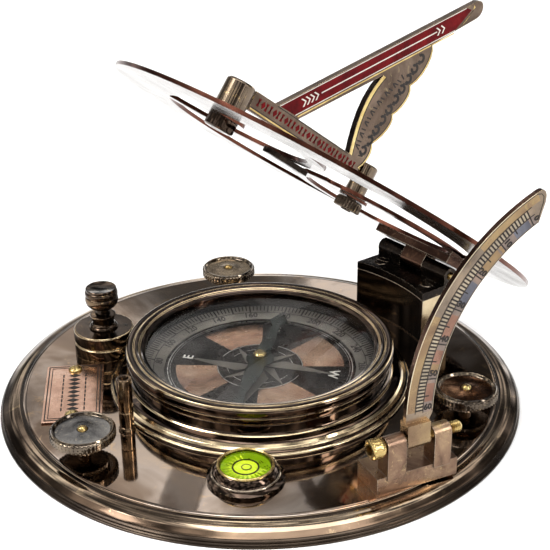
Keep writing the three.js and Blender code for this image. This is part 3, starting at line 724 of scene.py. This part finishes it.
light, dull, quadrants = [], [], []
for i in range(8):
    length, half = (13, 2.6) if i % 2 else (22, 4)
    light.append(kite(NORTH + 45 * i, length, half, 1))
    dull.append(kite(NORTH + 45 * i, length, half, -1))
prisms("card_rose_light", light, CARD_Z, CARD_Z + 0.1, "ring_card", "base")
prisms("card_rose_dark", dull, CARD_Z, CARD_Z + 0.09, "card", "base")
for i in range(4):
    start = NORTH + 90 * i + 12
    quadrants += band(ORIGIN, 12.4, 24.2, start, start + 46, 12)
prisms("card_quadrants", quadrants, CARD_Z, CARD_Z + 0.05, "rose_light", "base")
points = [(c, *polar(ORIGIN, 21.5, NORTH - 90 * i), NORTH - 90 * i - 90) for i, c in enumerate("NESW")]
lettering("card_points", points, 4.2, CARD_Z + 0.1, 0.08, "white", "base", bold=0.06)

finish_cad("compass_needle", "steel", 0.08)
finish_cad("needle_cap", "gold", 0.1)
finish_cad("needle_pivot", "gold", 0)

# ---------------------------------------------------------------- name plate
finish_cad("name_plate", "label", 0.15)
frame_lines = []
for inset, w in ((0.8, 0.35), (1.7, 0.22)):
    x, y = 15.5 - inset, 8.3 - inset
    for side in (-1, 1):
        frame_lines += [bar(-x, side * y, x, side * y, w), bar(side * x, -y, side * x, y, w)]
ornament = []
for k in range(-4, 5):
    cx = k * 2.3
    ornament.append([(cx - 1, 0), (cx, 1.7), (cx + 1, 0), (cx, -1.7)])
    for cy in (3.2, -3.2):
        ornament.append(bar(cx - 0.8, cy, cx + 0.8, cy, 0.4))
prisms("name_plate_border", frame_lines, 0.6, 0.66, "engraved", "base", NAME_PLATE_M)
prisms("name_plate_ornament", ornament, 0.6, 0.66, "engraved", "base", NAME_PLATE_M)
for i in (1, 2):
    finish_cad(f"name_plate_screw_{i}", "gold", 0.08)

# ---------------------------------------------------------------- lock drum and knob
finish_cad("lock_drum", "dark", 0.25, "edge")
collar = [(2.3, 12.2), (4.3, 12.2), (4.3, 12.7), (3.9, 13.1), (3.3, 13.4), (3.2, 14), (3.35, 15.5),
          (3.6, 15.8), (3.85, 16), (3.85, 16.5), (3.6, 16.6), (2.3, 16.6)]
lathe("lock_collar_turned", collar, "dark", "base", LOCK, closed=True, stands_for=["lock_collar"],
      fillet=0.1)
finish_cad("lock_stem", "black", 0)
knob = [(0, 18.9), (2.6, 18.9), (3.4, 19.0), (4.1, 19.5), (4.6, 20.1), (4.85, 20.8), (4.95, 21.5),
        (4.9, 22.2), (4.7, 22.5), (4.45, 22.65), (4.45, 22.85), (4.75, 23.0), (4.9, 23.3), (4.9, 24.0),
        (4.75, 24.3), (4.55, 24.45), (4.55, 24.6), (4.6, 24.8), (4.55, 25.15), (4.35, 25.3), (4.15, 25.2),
        (0, 25.15)]
lathe("lock_knob_turned", knob, "dark", "lock_screw", LOCK, segs=192, knurl=(3, 7, 48, 0.18),
      stands_for=["lock_knob"])
# a flat black disc on the drum's top: painted shade standing for a hole
hole_shade = arc_points((LOCK[0] + 3.4, LOCK[1] + 5.6), 0.6, 0, 345, 15)
prisms("lock_drum_hole_shade", [hole_shade], 12.2, 12.24, "engraved", "base")

# ---------------------------------------------------------------- rest post
shaft = [(0, PLATE_Z), (2.35, PLATE_Z), (2.35, 5.0), (2.02, 5.3), (2.02, 5.6), (1.8, 5.75), (2.02, 5.95),
         (2.02, 10.2), (1.75, 10.45), (2.02, 10.7), (2.02, 20.3), (1.85, 20.5), (1.3, 20.5), (0.9, 19.2),
         (0, 19.2)]
lathe("rest_post_turned", shaft, "dark", "base", POST, segs=48, stands_for=["rest_post"],
      fillet=0.08)

# ---------------------------------------------------------------- bubble level
finish_cad("level_housing", "body", 0.3, "edge")
bead = [(6.6, 8.0), (7.4, 8.0), (7.4, 8.55), (7.1, 8.8), (6.9, 8.8), (6.6, 8.5)]
lathe("level_bead_ring", bead, "gold", "base", LEVEL, closed=True, fillet=0.08)
step = [(8.6, 6.0), (8.85, 5.95), (9.0, 6.1), (9.0, 6.3), (8.8, 6.5), (8.5, 6.5)]
lathe("level_step_bead", step, "edge_dim", "base", LEVEL, closed=True, fillet=0.05)
finish_cad("level_vial", "level", 0)
finish_cad("level_glass", "glass", 0)
# just above the vial
VIAL_Z = 7.31
BUBBLE = (LEVEL[0] + 0.2, LEVEL[1] + 0.1)
prisms("level_circle", hoop(LEVEL, 3.3, 0.4, steps=48), VIAL_Z, 7.5, "engraved", "base")
prisms("level_bubble_ring", hoop(BUBBLE, 1.2, 0.22, steps=32), VIAL_Z, 7.52, "engraved", "base")
prisms("level_bubble", [arc_points(BUBBLE, 1.1, 0, 345, 23)], VIAL_Z, 7.45, "level", "base")

# ---------------------------------------------------------------- levelling screws
wheel_rim = [(7.2, 9.1), (8.2, 9.1), (8.6, 9.2), (8.75, 9.5), (8.75, 10.0), (8.75, 10.5), (8.75, 11.0),
             (8.75, 11.4), (8.55, 11.55), (8.3, 11.6), (8.2, 11.8), (8.05, 12.0), (7.8, 12.0), (7.6, 11.85),
             (7.45, 11.4), (7.2, 11.2)]
wheel_hub = [(1.56, 7), (5.8, 7), (6.2, 7.2), (6.3, 7.6), (6.35, 8.1), (6.4, 8.6), (6.3, 9.2), (6.1, 9.3),
             (1.56, 9.3)]
wheel_dish = [(1.56, 9.2), (7.3, 9.2), (7.3, 11.15), (6.4, 11.1), (4.6, 11.2), (3.2, 11.3), (2.4, 11.5),
              (1.56, 11.55)]
# the three wheels are alike; their dishes get grey, copper and brass in turn as painted reflections
DISH_REFLECTION = {1: "grey_dish_reflection", 2: "dish", 3: "brass_dish_painted_reflection"}
spindle_thread = thread(1.45, 1.62, 4.7, 4.85, 0.5, 4) + [(1.45, 6.95)]
for i, (x, y) in enumerate(SCREWS, 1):
    body, at = f"levelling_screw_{i}", (x, y, 0)
    lathe(f"levelling_wheel_turned_{i}", wheel_rim, "wheel", body, at, segs=240, closed=True,
          knurl=(2, 8, 48, 0.34), stands_for=[f"levelling_wheel_{i}"])
    lathe(f"levelling_wheel_hub_{i}", wheel_hub, "wheel", body, at, segs=216, closed=True,
          knurl=(1, 6, 36, 0.4, 0))
    lathe(f"levelling_wheel_dish_{i}", wheel_dish, DISH_REFLECTION[i], body, at, segs=96, closed=True)
    finish_cad(f"levelling_spindle_{i}", "gold", 0)
    finish_cad(f"levelling_foot_{i}", "satin", 0.1)
    lathe(f"levelling_thread_{i}", spindle_thread, "satin", body, at, segs=32)

# ---------------------------------------------------------------- hinge
finish_cad("hinge_block", "block", 0.3, "edge_dim")
# the block's faces looking along +x get the light gold-brown: a painted reflection
second_metal("hinge_block", "painted_reflection_side", lambda c, n: n.x > 0.9)
finish_cad("hinge_fixed_leaf", "black", 0.28, "edge_dim")
finish_cad("hinge_pin", "gold", 0)
finish_cad("hinge_moving_leaf", "brown", 0.2, "edge_dim")
for i in (1, 2):
    finish_cad(f"leaf_screw_{i}", "dark", 0.16, "edge_dim")
    finish_cad(f"dial_screw_{i}", "satin", 0.05)
    finish_cad(f"block_fixing_screw_{i}", "satin", 0)
    finish_cad(f"bracket_fixing_screw_{i}", "satin", 0)
finish_cad("drum_fixing_screw", "satin", 0)

# ---------------------------------------------------------------- dial
finish_cad("dial_ring", "dial", 0.08)
finish_cad("gnomon_catch", "black", 0.15)
PER_HOUR, TICK_END = 12, 64.0
hours = []
for k in range(24 * PER_HOUR):
    deg = 90 + k * 360 / (24 * PER_HOUR)
    if k % PER_HOUR == 0:
        hours.append(tick(DIAL_CENTRE, 58.4, TICK_END, deg, 0.3))
    else:
        hours.append(tick(DIAL_CENTRE, 62.0 if k % 6 else 61.0, TICK_END, deg, 0.16))
for r, w in ((64.1, 0.25), (61.0, 0.2), (50.2, 0.25)):
    hours += hoop(DIAL_CENTRE, r, w, steps=144)
prisms("dial_hour_lines", hours, DIAL_HI, DIAL_HI + 0.06, "engraved", "dial", DIAL_M)
ROMAN = ["XII", "I", "II", "III", "IIII", "V", "VI", "VII", "VIII", "IX", "X", "XI"]
numerals = [(ROMAN[k % 12], *polar(DIAL_CENTRE, 54.6, 90 + 15 * k), 15 * k) for k in range(24)]
lettering("dial_hour_numerals", numerals, 5.2, DIAL_HI, 0.06, "engraved", "dial", DIAL_M, bold=0.05)

finish_cad("gnomon_post_front", "pewter", 0.15)
finish_cad("gnomon_post_rear", "pewter", 0.12)
post_foot = [(2, -3.25), (3.7, -3.25), (4.15, -2.9), (4.15, -0.08), (2, -0.08)]
lathe("gnomon_post_front_foot", post_foot, "body", "dial", (0, at_q(POST_FRONT_Q), DIAL_LO), DIAL_M,
      closed=True)
nut = [(1.65, -3.4), (3.7, -3.4), (4.0, -3.25), (4.1, -2.9), (4.1, -2.3), (4.1, -1.7), (4.1, -1.1),
       (4.0, -0.6), (3.7, -0.2), (1.65, -0.2)]
lathe("post_nut_turned", nut, "pewter", "clamp_nut", (0, at_q(POST_REAR_Q), DIAL_LO), DIAL_M, segs=128,
      closed=True, knurl=(2, 7, 26, 0.3, 0), stands_for=["post_nut"])

# ---------------------------------------------------------------- gnomon
finish_cad("gnomon", "satin", 0.22, "edge")


def heel_wall(c, n):
    """The inner wall of the window on the heel side, the one made black as painted shade."""
    p = BLADE_M.inverted() @ c
    return -8 < p.x < 4 and 11 < p.y < 40 and (BLADE_M.to_3x3().inverted() @ n).x > 0.4


second_metal("gnomon", "black", heel_wall)
for end in ("front", "rear"):
    finish_cad(f"gnomon_pivot_{end}", "gold", 0)
STYLE_FOOT, STYLE_HEAD = Vector((26.9, 10.7)), Vector((-21.5, 69))
ALONG = (STYLE_HEAD - STYLE_FOOT).normalized()
ACROSS = Vector((-ALONG.y, ALONG.x))


def on_style(l, s):
    """A place on the style, l along it from its foot and s inwards from its upper edge."""
    p = STYLE_FOOT + ALONG * l + ACROSS * s
    return (p.x, p.y)


def curve(p0, p1, p2, p3, n=12):
    """Points of a cubic curve from p0 to p3."""
    out = []
    for i in range(n + 1):
        t = i / n
        k = ((1 - t) ** 3, 3 * t * (1 - t) ** 2, 3 * t * t * (1 - t), t ** 3)
        out.append(tuple(sum(w * p[j] for w, p in zip(k, (p0, p1, p2, p3))) for j in (0, 1)))
    return out


def ribbon(points, a, b):
    """Strip beside a line, from offset a to offset b along q."""
    return [[(p[0] + a, p[1]), (n[0] + a, n[1]), (n[0] + b, n[1]), (p[0] + b, p[1])]
            for p, n in zip(points, points[1:])]


def rule(q0, q1, h0, h1):
    """Straight band along the foot of the blade."""
    return [(q0, h0), (q0, h1), (q1, h1), (q1, h0)]


def stripe(a, b, s, w):
    """Line along the style from a to b, w each side of s."""
    return [on_style(a, s - w), on_style(a, s + w), on_style(b, s + w), on_style(b, s - w)]


def both_sides(name, polys, t, mat):
    """Inlays t thick on the two faces of the blade."""
    face = BLADE_T / 2
    for side, z0, z1 in (("right", face, face + t), ("left", -face - t, -face)):
        prisms(f"{name}_{side}", polys, z0, z1, mat, "gnomon_blade", BLADE_M)


panel = [on_style(0.5, 0.5), on_style(4.4, 4.9), on_style(66, 4.9), on_style(73, 1.6), on_style(71.5, 0.5)]
both_sides("gnomon_red_panel", [panel], 0.04, "red")
lines = [stripe(14.5, 58.5, 2.7, 0.16), stripe(0.4, 71, 0.36, 0.09), stripe(4.6, 65.5, 5.05, 0.1)]
for a in (8.6, 10.1, 11.6, 13.1, 59.5, 61.3):
    for side in (-1, 1):
        s = 2.7 + side * 1.2
        lines.append([on_style(a, 2.7), on_style(a + 0.5, 2.7), on_style(a - 0.6, s), on_style(a - 1.1, s)])
both_sides("gnomon_white_lines", lines, 0.08, "white")
both_sides("gnomon_style_edge", [stripe(5.2, 65, 5.75, 0.2)], 0.04, "gold")
tip = [on_style(70.5, 3.9), on_style(74.6, 1.4), on_style(74.2, 0.6), on_style(73.6, 2.1), on_style(68, 4.9)]
both_sides("gnomon_style_tip", [tip], 0.04, "gold")

notches = [(-13.4, 50.4), (-13.6, 36.8), (-12.8, 26.9), (-11, 16.6), (-10.9, 8.6)]
scallops = []
for (q0, h0), (q1, h1) in zip(notches, notches[1:]):
    k = 0.24 * (h0 - h1)
    scallops += curve((q0, h0), (q0 - k, h0 - 1.5), (q1 - k, h1 + 0.3 * (h0 - h1)), (q1, h1))
heel = curve((-4.6, 10.6), (-1.6, 18), (0.9, 26), (-1.9, 34.4), 20)
both_sides("gnomon_arm_gold", ribbon(scallops, 0.25, 0.7) + ribbon(heel, -1.3, -0.15)
           + [rule(35.2, -10.8, 5.7, 6.1)], 0.04, "gold")
both_sides("gnomon_arm_lines", ribbon(scallops, 0.75, 1.0) + ribbon(heel, -1.65, -1.35)
           + [rule(35.2, -10.8, 6.2, 6.45), rule(27, -4, 10.25, 10.5)], 0.05, "engraved")
bar_marks = []
for k in range(27):
    q = 33.2 - 1.6 * k
    if k % 3 == 1:
        bar_marks += [[(q + 0.8, 8.4), (q, 9.5), (q - 0.8, 8.4), (q, 7.3)]]
    else:
        bar_marks += [bar(q + 0.5, 7.3, q - 0.1, 9.5, 0.42), bar(q - 0.1, 7.3, q + 0.5, 9.5, 0.3)]
both_sides("gnomon_bar_ornament", bar_marks, 0.05, "red")
scroll, small = [], []
for k in range(10):
    h = 13.5 + 3.5 * k
    q = -9.0 - 3.0 * k / 9
    scroll += hoop((q, h), 1.1, 0.85, 20, 290 if k % 2 else 340, 14)
    scroll.append(bar(q - 0.9, h - 1.5, q + 0.9, h - 1.9, 0.35))
for k in range(22):
    h = 13 + 1.15 * k
    q = -6.6 + 2.6 * math.sin((h - 12) / 24 * math.pi) - 0.08 * (h - 12)
    small.append(bar(q - 0.9, h, q + 0.8, h + 0.6 * math.cos(k * 2.1), 0.42))
both_sides("gnomon_arm_ornament", scroll + small, 0.05, "engraved")

# ---------------------------------------------------------------- latitude arc
finish_cad("latitude_arc", "arc", 0.2, "edge")
ARC_NORMAL = Vector((-math.cos(TWIST), math.sin(TWIST), 0))
second_metal("latitude_arc", "brown", lambda c, n: abs(n.dot(ARC_NORMAL)) < 0.5)
second_metal("latitude_arc", "gold_dull", lambda c, n: c.z < 22.8)
finish_cad("arc_bracket", "bracket", 0.2, "edge_dim")
finish_cad("arc_pin", "gold", 0)
PIN_AT = (0, ARC_T / 2, PIN_Z)
thumb = [(1.33, -14.6), (2.2, -14.6), (2.6, -14.3), (2.7, -13.8), (2.7, -13.2), (2.7, -12.6), (2.7, -12),
         (2.5, -11.4), (2.2, -10.9), (1.33, -10.9)]
lathe("arc_thumb_knob_turned", thumb, "gold", "arc_screw", PIN_AT, ARC_M, segs=128, closed=True,
      knurl=(3, 6, 28, 0.22), stands_for=["arc_thumb_knob"], lying=True)
pin_thread = thread(1.3, 1.55, 7.7, 7.9, 0.5, 7) + [(1.0, 11.5), (0, 11.5)]
lathe("arc_pin_thread", pin_thread, "gold", "arc_screw", PIN_AT, ARC_M, segs=40,
      lying=True)


def on_arc(r, deg):
    """A place on the arc's face, deg up from its foot."""
    t = math.radians(deg)
    return (ARC_C[0] - r * math.cos(t), ARC_C[1] + r * math.sin(t))


def arc_band(r0, r1, a0, a1, steps):
    out = []
    for i in range(steps):
        b0, b1 = (a0 + (a1 - a0) * (i + k) / steps for k in (0, 1))
        out.append([on_arc(r0, b0), on_arc(r1, b0), on_arc(r1, b1), on_arc(r0, b1)])
    return out


def arc_bands(*specs):
    return [quad for spec in specs for quad in arc_band(*spec)]


def arc_mark(r0, r1, deg, half):
    """Radial mark from r0 to r1, half degrees wide each side of deg."""
    return [on_arc(r0, deg - half), on_arc(r1, deg - half), on_arc(r1, deg + half), on_arc(r0, deg + half)]


def arc_face(name, polys, t, mat):
    """Inlays t thick on the outer and the inner face of the arc."""
    prisms(name, polys, -t, 0, mat, "arc", ARC_M, flip=True)
    prisms(name + "_inner", polys, ARC_T, ARC_T + t, mat, "arc", ARC_M, flip=True)


TICK0, LABEL0 = 60.3, 61.9
# radii of the tarnished patches behind the numbers
PATCH = (51.8, 54.0)
arc_face("arc_track", arc_band(51.65, 54.1, 0.5, 61.6, 44), 0.01, "track")
arc_face("arc_gold_band", arc_bands((56.5, 58.7, 46, 64.6, 14), (56.5, 58.7, 1, 27, 18)), 0.012,
         "gold_dull")
arc_face("arc_blue_patches", arc_bands((*PATCH, 54.5, 59.6, 4), (*PATCH, 32.2, 38.6, 5)), 0.018,
         "patch_blue")
arc_face("arc_gold_patches", arc_bands((*PATCH, 42.2, 48.6, 5), (*PATCH, 12, 14.6, 3),
                                       (*PATCH, 49.2, 50, 2)), 0.018, "gold_dull")
arc_face("arc_red_patches", arc_bands((*PATCH, 22.4, 28.8, 5), (*PATCH, 14.6, 18.6, 4),
                                      (*PATCH, 3.6, 9, 4)), 0.018, "patch_red")
ladder = arc_bands((56.3, 56.5, 0.5, 61.8, 44), (54.1, 54.3, 0.5, 61.8, 44), (51.55, 51.7, 0.5, 61.6, 44),
                   (58.45, 58.62, 40, 64.4, 20))
for d in range(60):
    ladder.append(arc_mark(54.2, 56.4, TICK0 - d, 0.2))
    if d % 5 == 0:
        ladder.append(arc_mark(52.9 if d % 10 else 51.6, 54.2, TICK0 - d, 0.18))
tip = ((58.53, 64.4), (57.9, 65.5), (56.9, 65.8), (55.6, 65.2), (52.1, 62.0))
outline = [on_arc(r, deg) for r, deg in tip]
ladder += [bar(*p, *n, 0.2) for p, n in zip(outline, outline[1:])]
arc_face("arc_scale_lines", ladder, 0.05, "engraved")
arc_face("arc_bright_line", arc_bands((51.42, 51.52, 1, 61.5, 40), (58.68, 58.86, 1, 64.4, 44)), 0.03,
         "bright")
cells = [arc_mark(54.5, 56.1, TICK0 - 0.5 - d, 0.23) for d in range(59)]
arc_face("arc_scale_cells", cells, 0.04, "scale")
labels = [(str(d), *on_arc(52.9, LABEL0 - d), d - LABEL0) for d in range(0, 70, 10)]
lettering("arc_numbers", labels, 2.25, 0.0, 0.08, "engraved", "arc", ARC_M, flip=True, bold=0.09)

# ---------------------------------------------------------------- stage, camera, light
mat, t, b = new_material("floor_paint")
paint = ramp(t, noise(t, object_coord(t), 3, 2), [(0.3, grey(0.93)), (0.7, grey(0.95))])
t.links.new(paint, b.inputs["Base Color"])
b.inputs["Roughness"].default_value = 0.9
b.inputs["Specular IOR Level"].default_value = 0.1
floor_mesh = bpy.data.meshes.new("floor")
floor_mesh.from_pydata([(-6, -6, 0), (6, -6, 0), (6, 6, 0), (-6, 6, 0)], [], [(0, 1, 2, 3)])
floor = bpy.data.objects.new("floor", floor_mesh)
floor_mesh.materials.append(mat)
bpy.context.scene.collection.objects.link(floor)

# the camera, as solved from the photograph: angles, focal length in mm, place in metres
ELEV, ROLL, AZ = math.radians(25.444), math.radians(-0.596), math.radians(53)
LENS, SENSOR, CAMERA_AT = 79.087, 36, Vector((0.24796, -0.18107, 0.18288))
right = Vector((math.cos(AZ), math.sin(AZ), 0))
back = Vector((math.sin(AZ) * math.cos(ELEV), -math.cos(AZ) * math.cos(ELEV), math.sin(ELEV)))
up = back.cross(right)
cr, sr = math.cos(ROLL), math.sin(ROLL)
cam_x, cam_y = right * cr + up * sr, up * cr - right * sr
cam_data = bpy.data.cameras.new("camera")
cam_data.lens, cam_data.sensor_width = LENS, SENSOR
cam = bpy.data.objects.new("camera", cam_data)
place = Matrix((cam_x, cam_y, back)).transposed().to_4x4()
place.translation = CAMERA_AT
cam.matrix_world = place
bpy.context.scene.collection.objects.link(cam)
bpy.context.scene.camera = cam


AIM = Vector((0, 0, 0.03))


def softbox(name, spot, size, power):
    """Area light turned to the middle of the object."""
    d = bpy.data.lights.new(name, "AREA")
    d.shape, d.size, d.size_y = "RECTANGLE", size[0], size[1]
    d.energy = power
    o = bpy.data.objects.new(name, d)
    o.location = spot
    o.rotation_euler = (AIM - Vector(spot)).to_track_quat("-Z", "Y").to_euler()
    bpy.context.scene.collection.objects.link(o)


world = bpy.data.worlds.new("studio")
world.use_nodes = True
wt = world.node_tree
sky = wt.nodes["Background"]
coords = wt.nodes.new("ShaderNodeTexCoord").outputs["Generated"]
split = wt.nodes.new("ShaderNodeSeparateXYZ")
wt.links.new(coords, split.inputs[0])
# sky by height, from the floor's white through dark bands to a pale top
level_tone = ramp(wt, split.outputs["Z"], [
    (0.0, grey(1.1)), (0.16, grey(0.9)), (0.24, (0.20, 0.195, 0.19)), (0.37, (0.2, 0.195, 0.19)),
    (0.42, (0.5, 0.49, 0.48)), (0.46, (0.5, 0.49, 0.48)), (0.51, (0.24, 0.23, 0.225)), (0.62, grey(0.7)),
    (1.0, grey(0.95))])
# blotches that break up the reflections
blot = ramp(wt, noise(wt, coords, 6.5, 1.5, 0.5), [
    (0.42, grey(0.25)), (0.48, grey(1.0)), (0.54, grey(1.2)), (0.58, (3.6, 3.5, 3.4))])
tone = wt.nodes.new("ShaderNodeMix")
tone.data_type, tone.blend_type = "RGBA", "MULTIPLY"
tone.inputs[0].default_value = 1
wt.links.new(level_tone, tone.inputs[6])
wt.links.new(blot, tone.inputs[7])
wt.links.new(tone.outputs[2], sky.inputs[0])
sky.inputs[1].default_value = 0.8
bpy.context.scene.world = world
softbox("key", (-0.25, -0.6, 0.9), (0.45, 0.3), 5.5)
softbox("overhead", (0.05, 0.1, 1.1), (0.7, 0.7), 6.5)
softbox("side", (0.85, 0.35, 0.5), (0.15, 0.5), 3.0)
bpy.context.scene.view_settings.view_transform = "Standard"
